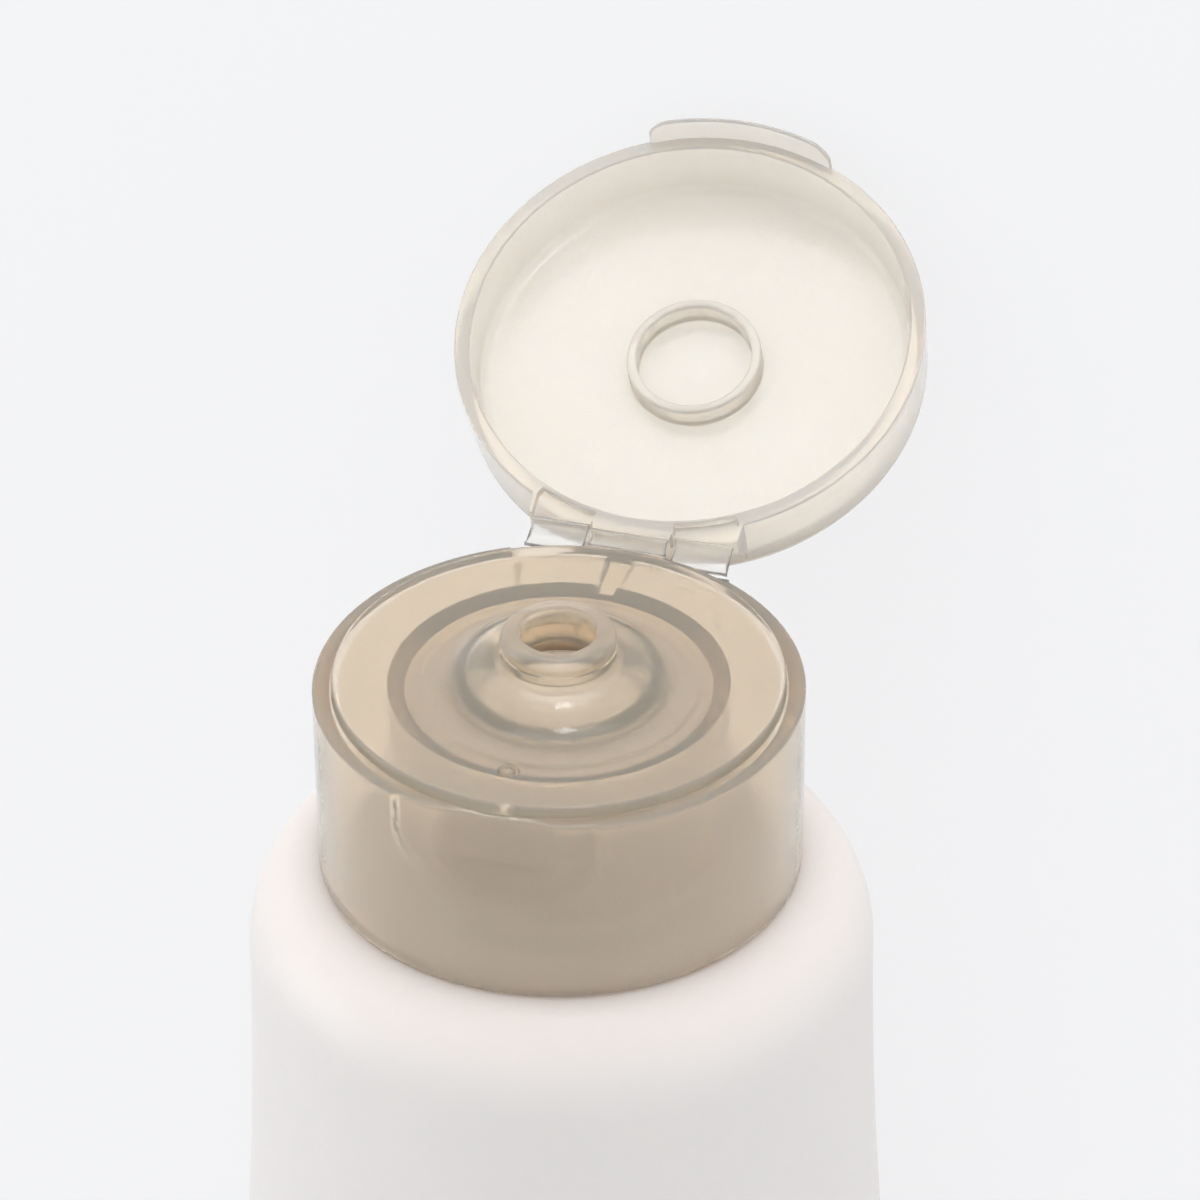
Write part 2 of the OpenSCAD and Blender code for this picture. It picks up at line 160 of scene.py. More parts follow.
def skin(material, colour, change, clouding, roughness, grain, grain_depth):
    """Moulded surface: colour clouded by a share, roughness in patches, and a fine grain as bump.

    Clouding and grain are noise scales, in features to the metre. Roughness goes 15 percent
    either way, in patches a third as large as the clouds.
    """
    nodes, links = material.node_tree.nodes, material.node_tree.links
    shader = nodes["Principled BSDF"]
    place = nodes.new("ShaderNodeTexCoord")
    mix = nodes.new("ShaderNodeMix")
    mix.data_type = "RGBA"
    mix.inputs["A"].default_value = (*[c * (1 - change) for c in colour], 1)
    mix.inputs["B"].default_value = (*[min(1.0, c * (1 + change)) for c in colour], 1)
    clouds = cloud(nodes, links, place, clouding, 1)
    links.new(spread(nodes, links, clouds, 0, 1), mix.inputs["Factor"])
    links.new(mix.outputs["Result"], shader.inputs["Base Color"])
    patches = cloud(nodes, links, place, clouding * 3, 1)
    uneven = spread(nodes, links, patches, roughness * 0.85, roughness * 1.15)
    links.new(uneven, shader.inputs["Roughness"])
    bump = nodes.new("ShaderNodeBump")
    bump.inputs["Strength"].default_value = 0.5
    bump.inputs["Distance"].default_value = grain_depth
    links.new(cloud(nodes, links, place, grain, 0), bump.inputs["Height"])
    links.new(bump.outputs["Normal"], shader.inputs["Normal"])


def frosted(name, colour, clear, haze, tint, density, roughness):
    """Frosted translucent plastic: a clear share refracts, a milky share scatters, and depth tints.

    Haze is how far light spreads, in metres, and density the tint's strength to the metre.
    """
    material, shader = new_material(name)
    nodes, links = material.node_tree.nodes, material.node_tree.links
    skin(material, colour, change=0.015, clouding=90.0, roughness=roughness,
         grain=3500.0, grain_depth=0.00002)
    shader.inputs["IOR"].default_value = 1.49
    shader.inputs["Transmission Weight"].default_value = clear
    shader.inputs["Subsurface Weight"].default_value = 1.0
    shader.inputs["Subsurface Radius"].default_value = (1.0, 0.9, 0.78)
    shader.inputs["Subsurface Scale"].default_value = haze
    volume = nodes.new("ShaderNodeVolumeAbsorption")
    volume.inputs["Color"].default_value = (*tint, 1)
    volume.inputs["Density"].default_value = density
    links.new(volume.outputs[0], nodes["Material Output"].inputs["Volume"])
    return material


def milky_tube():
    """Soft white tube plastic with light spread below its satin surface."""
    material, shader = new_material("milky_tube")
    skin(material, (0.79, 0.72, 0.69), change=0.008, clouding=25.0, roughness=0.42,
         grain=2500.0, grain_depth=0.00003)
    shader.inputs["Subsurface Weight"].default_value = 0.6
    shader.inputs["Subsurface Radius"].default_value = (1.0, 0.8, 0.7)
    shader.inputs["Subsurface Scale"].default_value = 0.004
    return material


def cream():
    """Wet white face wash with a few soft swirls."""
    material, shader = new_material("wet_white_cream")
    skin(material, (0.88, 0.87, 0.85), change=0.01, clouding=120.0, roughness=0.22,
         grain=500.0, grain_depth=0.0001)
    shader.inputs["Coat Weight"].default_value = 0.4
    shader.inputs["Coat Roughness"].default_value = 0.1
    return material


cap_plastic = frosted("smoke_beige_cap", (1.0, 0.882, 0.752), clear=0.81, haze=0.003,
                      tint=(0.99, 0.78, 0.5), density=50.0, roughness=0.09)
lid_plastic = frosted("pale_beige_lid", (1.0, 0.955, 0.885), clear=0.62, haze=0.003,
                      tint=(0.97, 0.8, 0.5), density=110.0, roughness=0.12)
film_plastic = frosted("clear_film", (1.0, 0.98, 0.94), clear=0.85, haze=0.001,
                       tint=(0.9, 0.8, 0.6), density=20.0, roughness=0.1)
tube_plastic = milky_tube()
face_wash = cream()


# Tube, in mm of its own frame
CAP_R = 19.0
TUBE_R = 24.5
CRIMP_HALF = 0.6
CRIMP_HALF_W = TUBE_R * math.pi / 2
CRIMP_Z = -152.0
CRIMP_RIB_PITCH = 0.9
CRIMP_RIB_DEPTH = 0.15
GIRTH_GAIN = 0.1107
GIRTH_POWER = 1.2
TUBE_END_Z = -160.0
TUBE_WALL = 0.55
SHOULDER_Z = -16.15
SHOULDER_H = 8.0
SHOULDER_R = CAP_R - 0.7
WALL_Z = SHOULDER_Z - SHOULDER_H
NECK_R = 11.6
NECK_BORE_R = 9.8
MOUTH_R = 7.5
MOUTH_LAND = 1.3
NECK_Z = -1.7
BEAD_Z = -11.3
BEAD_SIZE = 0.5
SHOULDER_WALL = 1.5
WASH_INSET = 0.85
WASH_GAP = 0.3
WASH_STEP_Z = -3.9
WASH_TOP_R = 6.3
WASH_TOP_Z = -1.4
WASH_DOME = 0.48


def half_depth(u):
    """Half depth of the sleeve, which thins as a parabola from round, u = 0, to the crimp, u = 1."""
    return CRIMP_HALF + (TUBE_R - CRIMP_HALF) * (1 - u * u)


def half_width(b):
    """Half width of an ellipse of half depth b that keeps the round sleeve's girth, by a fitted gain."""
    return np.sqrt(2 * TUBE_R ** 2 - b * b) * (1 + GIRTH_GAIN * (1 - b / TUBE_R) ** GIRTH_POWER)


def ramp(value, edge, width):
    """0 below an edge and 1 above it, joined by a smooth cubic over a width."""
    t = np.clip((value - edge) / width + 0.5, 0, 1)
    return t * t * (3 - 2 * t)


def arc(cx, cz, r, start, end, n):
    """Points of an arc in the r, z plane, from one angle in degrees to another."""
    a = np.radians(np.linspace(start, end, n))
    return np.stack([cx + r * np.cos(a), cz + r * np.sin(a)], -1)


def add_mesh(name, points, faces, material, sharp=False):
    """Puts computed points, in the CAD's frame, and faces into a new object at the origin."""
    mesh = bpy.data.meshes.new(name)
    mesh.from_pydata(points.reshape(-1, 3).tolist(), [], faces)
    mesh.validate()
    mesh.polygons.foreach_set("use_smooth", np.ones(len(mesh.polygons), bool))
    if sharp:
        mesh.set_sharp_from_angle(angle=math.radians(35))
    mesh.materials.append(material)
    piece = bpy.data.objects.new(name, mesh)
    bpy.context.scene.collection.objects.link(piece)
    return piece


def grid_faces(rows, columns, wrap, loop=False):
    """Quads of a grid, stored row by row, whose columns and rows may close on themselves."""
    i = np.arange(rows if loop else rows - 1)[:, None]
    j = np.arange(columns if wrap else columns - 1)[None, :]
    k, n = (j + 1) % columns, (i + 1) % rows
    corners = np.broadcast_arrays(i * columns + j, i * columns + k, n * columns + k, n * columns + j)
    return np.stack(corners, -1).reshape(-1, 4).tolist()


def end_faces(rows, columns):
    """The two faces that close a grid of closed rows at its first and its last row."""
    last = (rows - 1) * columns
    return [list(range(columns - 1, -1, -1)), list(range(last, last + columns))]


def closed_stack(name, rings, material):
    """Skin over closed rings of equal count, with both ends closed by one face each."""
    size = rings.shape[:2]
    return add_mesh(name, to_row(rings), grid_faces(*size, True) + end_faces(*size), material)


def sleeve_outline(inset, drop, share, rows):
    """Half width, half depth and height of the rings from shoulder to sleeve, set inwards by a wall."""
    a = np.radians(np.linspace(90, 0, 16))
    r = SHOULDER_R + (TUBE_R - SHOULDER_R) * np.cos(a) - inset
    z = SHOULDER_Z - drop - (SHOULDER_H - drop) * (1 - np.sin(a))
    u = share * np.arange(1, rows + 1) / rows
    b = half_depth(u)
    w = half_width(b) - inset
    sleeve = np.stack([w, b - inset, WALL_Z + u * (CRIMP_Z - WALL_Z)], -1)
    return np.concatenate([np.stack([r, r, z], -1), sleeve])


def ring_points(outline, columns, square):
    """Rings from rows of half width, half depth and height.

    A ring is an ellipse whose sine and cosine are raised to a power: 1 keeps the ellipse,
    and a small power squares it off into the flat crimp.
    """
    t = 2 * np.pi * np.arange(columns) / columns
    c, s = np.cos(t)[None, :], np.sin(t)[None, :]
    p = np.asarray(square)[:, None]
    x = outline[:, 0, None] * np.sign(c) * np.abs(c) ** p
    y = outline[:, 1, None] * np.sign(s) * np.abs(s) ** p
    z = np.broadcast_to(outline[:, 2, None], x.shape)
    return np.stack([x, y, z], -1)


def round_rows(profile):
    """Rows of equal half width and half depth from r, z points of a profile."""
    p = np.asarray(profile, float)
    return np.stack([p[:, 0], p[:, 0], p[:, 1]], -1)


def make_tube():
    """Sleeve, shoulder and neck as one skin, from the sleeve's inside over the mouth to the crimp.

    The crimp keeps the sleeve's girth, squares off, and carries fine cosine ribs across its width.
    """
    inside = sleeve_outline(TUBE_WALL, SHOULDER_WALL, 0.985, 60)[::-1]
    land_z = NECK_Z - MOUTH_LAND
    neck = round_rows(np.concatenate([
        [[NECK_BORE_R, SHOULDER_Z - SHOULDER_WALL], [NECK_BORE_R, land_z], [MOUTH_R, land_z]],
        arc(MOUTH_R + 0.2, NECK_Z - 0.2, 0.2, 180, 90, 5),
        arc(NECK_R - 0.4, NECK_Z - 0.4, 0.4, 90, 0, 8),
        [[NECK_R, BEAD_Z + 0.4]],
        arc(NECK_R - 0.35, BEAD_Z, BEAD_SIZE, 45, -45, 12),
        [[NECK_R, BEAD_Z - 0.4]],
        arc(NECK_R + 0.5, SHOULDER_Z + 0.5, 0.5, 180, 270, 8),
    ]))
    outside = sleeve_outline(0, 0, 1, 90)[:-1]
    crimp_rows = 110
    z = np.linspace(CRIMP_Z, TUBE_END_Z, crimp_rows)
    end = np.clip((z - TUBE_END_Z) / 0.35, 0, 1)
    ribs = 0.5 - 0.5 * np.cos(2 * np.pi * (z - TUBE_END_Z) / CRIMP_RIB_PITCH)
    ribbed = ramp(-z, 0.6 - CRIMP_Z, 0.4) * ramp(z, TUBE_END_Z + 0.9, 0.4)
    half_w = CRIMP_HALF_W - 0.05 - 0.25 * (1 - end)
    half_d = CRIMP_HALF * (0.9 + 0.1 * np.sqrt(end)) - CRIMP_RIB_DEPTH * ribs * ribbed
    outline = np.concatenate([inside, neck, outside, np.stack([half_w, half_d, z], -1)])
    u = np.clip((WALL_Z - outline[:, 2]) / (WALL_Z - CRIMP_Z), 0, 1)
    outer = np.arange(len(outline)) >= len(inside) + len(neck)
    flat = np.clip((u - 0.9) / 0.1, 0, 1) * outer
    square = 1 - 0.8 * flat * flat * (3 - 2 * flat)
    rings = ring_points(outline, 288, square)
    return closed_stack("squeeze_tube", rings[::-1], tube_plastic)


def make_face_wash():
    """The face wash: the sleeve's form set in from its wall, and a column up the neck with a domed top."""
    drop = SHOULDER_WALL + WASH_GAP
    body = sleeve_outline(WASH_INSET, drop, 0.86, 50)[::-1]
    column_r = NECK_BORE_R - WASH_GAP
    t = np.linspace(0.1, 1.5, 14)
    column = round_rows(np.concatenate([
        [[column_r, SHOULDER_Z - drop]],
        arc(column_r - 0.2, WASH_STEP_Z - 0.2, 0.2, 0, 90, 4),
        [[WASH_TOP_R, WASH_STEP_Z], [WASH_TOP_R, WASH_TOP_Z]],
        np.stack([WASH_TOP_R * np.cos(t), WASH_TOP_Z + WASH_DOME * np.sin(t)], -1),
    ]))
    outline = np.concatenate([body, column])
    rings = ring_points(outline, 96, np.ones(len(outline)))
    return closed_stack("face_wash", rings, face_wash)


# Cap and lid, in mm of the tube's own frame
LID_RIM_R = CAP_R - 1.27
DECK_FOOT_R = LID_RIM_R - 0.17
DECK_TOP_R = DECK_FOOT_R - 0.14
DECK_Z = 0.9
UNDER_Z = -0.6
SKIRT_WALL = 1.4
SKIRT_FOOT = (18.85, -16.0)
NOZZLE_R = 4.5
NOZZLE_Z = 5.0
GROOVE_R = NOZZLE_R - 0.12
BORE_R = 2.96
BORE_Z = 1.8
MOUND_TOP_R = 5.0
MOUND_R = 9.5
MOUND_H = 2.0
GRIP_IN_R = 11.9
GRIP_OUT_R = 13.2
GRIP_FOOT_Z = -12.9
LEDGE_R = 10.9
SEAL_OUT_R = 7.4
SEAL_IN_R = 6.6
WING_Y = CAP_R - 0.3
BLOCK_Y = CAP_R + 0.25
BLOCK_FOOT_Y = 16.8
HINGE_W = 17.2
STRAP_W = 6.4
WING_TOP_Z = -1.3
STRAP_TOP_Z = -0.6
SEAT_GAP = 0.15
EDGE = 0.06
GATE = (-0.15, -13.1)
RIB_FOOT_Z = -2.4
RIB_HALF_W = 0.95
PAD_Y = 17.0
PAD_FOOT_Z = -6.6
DENT_HALF_W = 1.22
DENT_LOW_Z = -2.5
DENT_CORNER_R = 6.5
DENT_DEPTH = 0.32
CHORD_Y = 18.0
SLOPE_TOP_Z = -4.1
SLOPE = 0.68 / 2.5
LID_FLOOR_H = 5.5
LID_H = 7.1
PLUG_IN_R = 4.65
PLUG_OUT_R = 5.45
PLUG_H = 2.0
TAB_IN_R = 18.8
TAB_OUT_R = 19.15
TAB_HALF_W = 7.6
TAB_CORNER_R = 1.7
TAB_STRAIGHT = 0.7


def rounded_profile(corners, closed, arc_points=6):
    """r, z points of a profile through corners, each given as r, z, edge radius and step of its next run.

    An edge is an arc that meets both its runs at radius x tan(turn / 2) from the corner.
    """
    c = np.asarray(corners, float)
    p = c[:, :2]
    back = np.roll(p, 1, 0) - p
    ahead = np.roll(p, -1, 0) - p
    back /= np.linalg.norm(back, axis=1)[:, None]
    ahead /= np.linalg.norm(ahead, axis=1)[:, None]
    turn = np.pi - np.arccos(np.clip((back * ahead).sum(1), -1, 1))
    cut = (c[:, 2] * np.tan(turn / 2))[:, None]
    enter, leave = p + back * cut, p + ahead * cut
    t = np.linspace(0, 1, arc_points)[:, None]
    points = []
    for i in range(len(c)):
        if c[i, 2] > 0:
            middle = back[i] + ahead[i]
            centre = p[i] + middle / np.hypot(*middle) * c[i, 2] / math.cos(turn[i] / 2)
            from_enter = np.sin((1 - t) * turn[i]) * (enter[i] - centre)
            to_leave = np.sin(t * turn[i]) * (leave[i] - centre)
            points.append(centre + (from_enter + to_leave) / math.sin(turn[i]))
        else:
            points.append(p[i:i + 1])
        if closed or i + 1 < len(c):
            end = enter[(i + 1) % len(c)]
            cuts = max(1, round(float(np.hypot(*(end - leave[i]))) / c[i, 3]))
            s = np.arange(1, cuts)[:, None] / cuts
            points.append(leave[i] * (1 - s) + end * s)
    return np.concatenate(points)


def column_angles(front, edges):
    """Angles about the axis: fine at the front, middling at the back, and close at each upright edge."""
    spans = np.radians(np.concatenate([
        np.arange(-180, -118, 2), np.arange(-118, -90 - front, 0.75),
        np.arange(-90 - front, -90 + front, 0.35), np.arange(-90 + front, -62, 0.75),
        np.arange(-62, 62, 2), np.arange(62, 118, 1.5), np.arange(118, 180, 2),
    ]))
    shifts = (-EDGE, 0, EDGE)
    x = np.array([side * (edge + shift) for edge in edges for side in (-1, 1) for shift in shifts])
    at_edges = np.concatenate([np.arccos(x / CAP_R), -np.arccos(x / CAP_R)])
    return np.unique(np.round(np.concatenate([spans, at_edges]), 5))


def within(x, half):
    """1 between two upright edges at plus and minus a half width, 0 outside them."""
    return 1 - ramp(np.abs(x), half, 2 * EDGE)


def thumb_depth(x, front, z):
    """Depth of the thumb's dent below the round wall, for the cosine of the angle from the front.

    The deeper of two forms, joined softly: a concentric dent with large round lower corners,
    which fades out over a ramp at its outline, and a flat chord that slopes out below.
    """
    side, low = np.abs(x) - DENT_HALF_W, DENT_LOW_Z - z
    past = np.hypot(np.maximum(side, 0), np.maximum(low, 0)) + np.minimum(np.maximum(side, low), 0)
    lower = np.clip((-3 - z) / 3, 0, 1)
    fade = 0.6 + 1.7 * lower
    inside = 1 - ramp(past - DENT_CORNER_R + fade * lower, fade / 2, fade)
    dent = DENT_DEPTH * inside * (front > 0.5)
    chord = CAP_R - (CHORD_Y + SLOPE * np.maximum(SLOPE_TOP_Z - z, 0)) / np.maximum(front, 0.5)
    soft = 0.05
    h = np.clip(0.5 + 0.5 * (chord - dent) / soft, 0, 1)
    return dent * (1 - h) + chord * h + soft * h * (1 - h)


def behind(y, back_y, z, top_z, straight, slope):
    """Moves the wall's points out to a block's flat back, which slopes in again towards its far end."""
    away = np.abs(z - top_z)
    face = back_y - (back_y - BLOCK_FOOT_Y) * np.clip((away - straight) / slope, 0, 1)
    return np.maximum(face - y, 0)


def make_cap():
    """The cap base as one turned surface: a rounded profile carried about the axis.

    On that, the thumb's recess and the rim's setback shift the outer wall inwards, the hinge
    blocks shift it back, the gate's ring sinks the deck about a small pip, and the rib lowers
    its underside.
    """
    share = np.arange(0, 17) / 16
    mound_r = MOUND_TOP_R + (MOUND_R - MOUND_TOP_R) * share
    mound_z = DECK_Z + MOUND_H * (1 + np.cos(np.pi * share)) / 2
    mound = [(at_r, at_z, 0, 1) for at_r, at_z in zip(mound_r, mound_z)]
    wall_r, foot_r = CAP_R - SKIRT_WALL, SKIRT_FOOT[0] - SKIRT_WALL
    profile = rounded_profile([
        (BORE_R, BORE_Z, 0.1, 0.8), (BORE_R, NOZZLE_Z, 0.3, 0.5), (NOZZLE_R, NOZZLE_Z, 0.85, 0.1),
        (NOZZLE_R, 4.0, 0.05, 0.1), (GROOVE_R, 3.9, 0.03, 0.1), (GROOVE_R, 3.6, 0.03, 0.1),
        (NOZZLE_R, 3.5, 0.05, 0.3), (NOZZLE_R, DECK_Z + MOUND_H, 0.15, 0.3), *mound,
        (11.9, DECK_Z, 0, 0.12), (14.3, DECK_Z, 0, 0.6), (DECK_TOP_R, DECK_Z, 0.3, 0.3),
        (DECK_FOOT_R, 0, 0.1, 0.4), (CAP_R, 0, 0.28, 0.06), (CAP_R - 0.02, -2.0, 0, 0.24),
        (CAP_R - 0.09, -10.0, 0, 0.8), (*SKIRT_FOOT, 0.3, 0.5), (foot_r, -16.0, 0.12, 0.8),
        (wall_r - 0.05, -8.0, 0, 0.35), (wall_r, -2.45, 0, 2), (wall_r, UNDER_Z - 0.7, 0, 2),
        (wall_r - 0.7, UNDER_Z, 0, 1), (GRIP_OUT_R, UNDER_Z, 0, 3), (GRIP_OUT_R, -2.45, 0, 2),
        (GRIP_OUT_R, GRIP_FOOT_Z, 0.15, 0.5), (GRIP_IN_R + 0.5, GRIP_FOOT_Z, 0.1, 0.5),
        (GRIP_IN_R, GRIP_FOOT_Z + 0.75, 0.2, 2), (GRIP_IN_R, UNDER_Z - 1, 0.1, 0.4),
        (LEDGE_R, UNDER_Z - 1, 0.1, 0.4), (LEDGE_R, UNDER_Z, 0.2, 1), (SEAL_OUT_R, UNDER_Z, 0.2, 1),
        (SEAL_OUT_R, -3.2, 0.1, 0.3), (SEAL_OUT_R - 0.27, -3.6, 0.1, 0.3), (SEAL_IN_R, -3.6, 0.1, 1),
        (SEAL_IN_R, UNDER_Z + 0.9, 0.2, 0.4), (NOZZLE_R + 0.4, BORE_Z, 0.15, 0.5),
    ], closed=True)
    r, z = profile[:, 0, None], profile[:, 1, None]
    angle = column_angles(5.5, (HINGE_W / 2, STRAP_W / 2, 0.85))[None, :]
    x_wall, front, back = CAP_R * np.cos(angle), -np.sin(angle), np.sin(angle) > 0
    outer = np.clip((r - wall_r) / 1.1, 0, 1)
    setback = 0.2 * within(x_wall, HINGE_W / 2 + 0.2) * back * ramp(z, WING_TOP_Z, EDGE)
    inner_skin = (r > 17.2) & (r < wall_r + 0.01) & (z < -0.9) & (front > 0.5)
    pad = np.maximum(r - PAD_Y / np.maximum(front, 0.5), 0) * inner_skin * ramp(z, PAD_FOOT_Z, 0.4)
    radius = r - (thumb_depth(x_wall, front, z) + setback) * outer - pad
    x, y = radius * np.cos(angle), radius * np.sin(angle)
    wing = behind(y, WING_Y, z, WING_TOP_Z, 1.4, 2.6) * within(x_wall, HINGE_W / 2)
    wing = wing * ramp(-z, -WING_TOP_Z, EDGE)
    strap = behind(y, BLOCK_Y, z, STRAP_TOP_Z, 1.05, 1.95) * within(x_wall, STRAP_W / 2)
    strap = strap * ramp(-z, -STRAP_TOP_Z, EDGE)
    y = y + np.maximum(wing, strap) * back * (r > 18.3) * (z < 0) * (z > -8)
    gate = np.hypot(x - GATE[0], y - GATE[1])
    on_deck = (z > DECK_Z - 0.01) * (r > 11) * (r < 15)
    ring = ramp(gate, 0.42, 0.14) * (1 - ramp(gate, 0.8, 0.14)) * on_deck
    pip = (1 - ramp(gate, 0.17, 0.3)) * on_deck
    rib = (r > GRIP_OUT_R - 0.01) & (r < wall_r + 0.01) & (z < UNDER_Z + 0.01) & (z > RIB_FOOT_Z)
    lowered = (RIB_FOOT_Z - z) * rib * within(x_wall, RIB_HALF_W) * back
    height = z - 0.25 * ring + 0.2 * pip + lowered
    rings = np.stack([x, y, height], -1)
    faces = grid_faces(*rings.shape[:2], True, True)
    return add_mesh("flip_cap_base", to_row(rings[::-1]), faces, cap_plastic, sharp=True)


def tab_rows(x):
    """Rows from the lid's rim round its finger tab and up to the wall, for each column's place in x.

    Beside the tab they lie on the rim's edge and the wall. Within it they go down its inner
    face, round its tip and up its outer face, and are faired into the wall. The tab hangs down
    by its straight run and its corner radius, less what the round corners take off.
    """
    thick = (TAB_OUT_R - TAB_IN_R) / 2
    middle_r = TAB_IN_R + thick
    run, tip = np.linspace(0, 1, 9)[:-1], np.radians(np.linspace(180, 360, 7))
    fair = np.linspace(0, 1, 6)
    edge = np.radians(np.linspace(-90, 0, 7))
    rim = np.concatenate([
        np.stack([TAB_IN_R + 0.05 * run, np.full(8, SEAT_GAP)], -1),
        np.stack([18.85 + 0.15 * np.cos(edge), 0.3 + 0.15 * np.sin(edge)], -1),
        np.stack([19.0 - 0.015 * run, 0.3 + 0.5 * (run + 0.1)], -1),
        np.stack([18.985 - 0.065 * fair, 0.86 + 0.89 * fair], -1),
    ])
    side = np.clip(np.abs(x) - (TAB_HALF_W - TAB_CORNER_R), 0, TAB_CORNER_R)
    drop = TAB_STRAIGHT + np.sqrt(TAB_CORNER_R ** 2 - side ** 2)
    low = SEAT_GAP - drop + thick
    down = SEAT_GAP + run[:, None] * (low - SEAT_GAP)[None, :]
    flat = np.ones_like(x)[None, :]
    r = np.concatenate([TAB_IN_R * np.ones_like(down), (middle_r + thick * np.cos(tip))[:, None] * flat,
                        TAB_OUT_R * np.ones_like(down), (TAB_OUT_R - 0.23 * fair)[:, None] * flat])
    up = low[None, :] + (run + 0.1)[:, None] * (SEAT_GAP - low)[None, :]
    z = np.concatenate([down, low[None, :] + thick * np.sin(tip)[:, None], up,
                        (SEAT_GAP + 1.6 * fair)[:, None] * flat])
    return rim, r, z


def make_lid():
    """The flip lid as one turned surface, closed, then turned open about the hinge.

    Its profile runs from the ceiling over the plug ring, down the inner wall and over the
    rim, where the finger tab grows out of it, then up the outer wall and over the top.
    """
    ceiling, top = SEAT_GAP + LID_FLOOR_H, SEAT_GAP + LID_H
    inside = rounded_profile([
        (0.01, ceiling, 0, 1.2), (PLUG_IN_R, ceiling, 0.12, 0.5),
        (PLUG_IN_R, ceiling - PLUG_H, 0.25, 0.5), (PLUG_OUT_R, ceiling - PLUG_H, 0.25, 0.5),
        (PLUG_OUT_R, ceiling, 0.15, 1.2), (LID_RIM_R - 0.3, ceiling, 0.8, 0.6),
        (LID_RIM_R, SEAT_GAP, 0.18, 0.1), (18.08, SEAT_GAP, 0, 0.3), (18.12, SEAT_GAP, 0, 0.2),
        (18.79, SEAT_GAP, 0, 1),
    ], closed=False)
    outside = rounded_profile([
        (18.905, 1.85, 0, 0.2), (18.7, top - 1.5, 0.5, 0.4), (18.7, top, 1.6, 0.8), (9.0, top, 0, 1.5),
        (0.01, top, 0, 1),
    ], closed=False, arc_points=12)
    angle = column_angles(26.0, (HINGE_W / 2, STRAP_W / 2, TAB_HALF_W, 3.4, 8.3))[None, :]
    x_wall, back = CAP_R * np.cos(angle), np.sin(angle) > 0
    rim, tab_r, tab_z = tab_rows(x_wall[0])
    on_tab = within(x_wall, TAB_HALF_W) * ~back
    plain = np.ones_like(angle)
    edge_r = rim[:, 0, None] * (1 - on_tab) + tab_r * on_tab
    edge_z = rim[:, 1, None] * (1 - on_tab) + tab_z * on_tab
    r = np.concatenate([inside[:, 0, None] * plain, edge_r, outside[:, 0, None] * plain])
    z = np.concatenate([inside[:, 1, None] * plain, edge_z, outside[:, 1, None] * plain])
    x, y = r * np.cos(angle), r * np.sin(angle)
    outer = np.zeros((len(r), 1))
    outer[len(inside):] = 1
    wing = behind(y, WING_Y, z, SEAT_GAP, 1.575, 2.925) * within(x_wall, HINGE_W / 2)
    strap = behind(y, BLOCK_Y, z, SEAT_GAP, 1.4, 2.6) * within(x_wall, STRAP_W / 2)
    y = y + np.maximum(wing, strap) * back * outer * (z < 5.5)
    pocket = within(np.abs(x_wall) - 5.85, 2.45) * back * (r > 18.1) * (z < 3)
    pocket = pocket * np.clip((1.75 - z) / 1.6, 0, 1)
    rings = opened(np.stack([x, y, z + 0.5 * pocket], -1))
    faces = grid_faces(*rings.shape[:2], True) + end_faces(*rings.shape[:2])
    return add_mesh("flip_top_lid", to_row(rings), faces, lid_plastic, sharp=True)


# Film web
FILM_T = 0.3
FILM_WAIST = 0.35
WING_BOW = 0.35
STRAP_BOW = 0.12
WING_ROOT_Z = -1.1
WING_LID_Z = SEAT_GAP + 0.5


def bowed_strip(start, end, bow, x_low, x_high, n):
    """One film strip: a shallow bow between two points of y and z, thick at its roots and thinner midway.

    It has n points along the bow, and its rings are set side by side along x. The top and
    bottom skins are the bow moved along its normal.
    """
    t = np.linspace(0, 1, n)
    start, end = np.asarray(start, float), np.asarray(end, float)
    chord = end - start
    side = np.array([chord[1], -chord[0]]) / np.hypot(*chord)
    middle = start + t[:, None] * chord + (4 * bow * t * (1 - t))[:, None] * side
    along = np.gradient(middle, axis=0)
    normal = np.stack([along[:, 1], -along[:, 0]], -1) / np.hypot(along[:, 0], along[:, 1])[:, None]
    half = FILM_T / 2 * (1 - FILM_WAIST * np.sin(np.pi * t) ** 0.5)
    outer = middle + half[:, None] * normal
    inner = middle - half[:, None] * normal
    loop = np.concatenate([outer, inner[::-1]])
    pinch = np.concatenate([np.sin(np.pi * t), np.sin(np.pi * t[::-1])])
    x = np.linspace(-1, 1, 20)
    centre, reach = (x_low + x_high) / 2, (x_high - x_low) / 2
    rings = np.empty((len(x), len(loop), 3))
    rings[..., 0] = centre + x[:, None] * (reach - 0.18 * pinch[None, :])
    rings[..., 1] = loop[None, :, 0]
    rings[..., 2] = loop[None, :, 1]
    return rings.reshape(-1, 3), grid_faces(*rings.shape[:2], True) + end_faces(*rings.shape[:2])


def make_web():
    """The film hinge: two wings and the middle strap as one clear moulding."""
    wing_start, strap_start = (WING_Y + 0.2, WING_ROOT_Z), (BLOCK_Y + 0.12, -0.48)
    wing_end = opened([0, WING_Y, WING_LID_Z])[1:] + [-0.2, 0]
    strap_end = opened([0, BLOCK_Y, SEAT_GAP])[1:] + [-0.22, 0]
    inner, outer = STRAP_W / 2 + 0.3, HINGE_W / 2 - 0.3
    strips = [
        bowed_strip(wing_start, wing_end, WING_BOW, -outer, -inner, 24),
        bowed_strip(wing_start, wing_end, WING_BOW, inner, outer, 24),
        bowed_strip(strap_start, strap_end, STRAP_BOW, -STRAP_W / 2, STRAP_W / 2, 16),
    ]
    points, faces, count = [], [], 0
    for strip_points, strip_faces in strips:
        points.append(strip_points)
        faces += [[i + count for i in face] for face in strip_faces]
        count += len(strip_points)
    return add_mesh("film_web", to_row(np.concatenate(points)), faces, film_plastic)


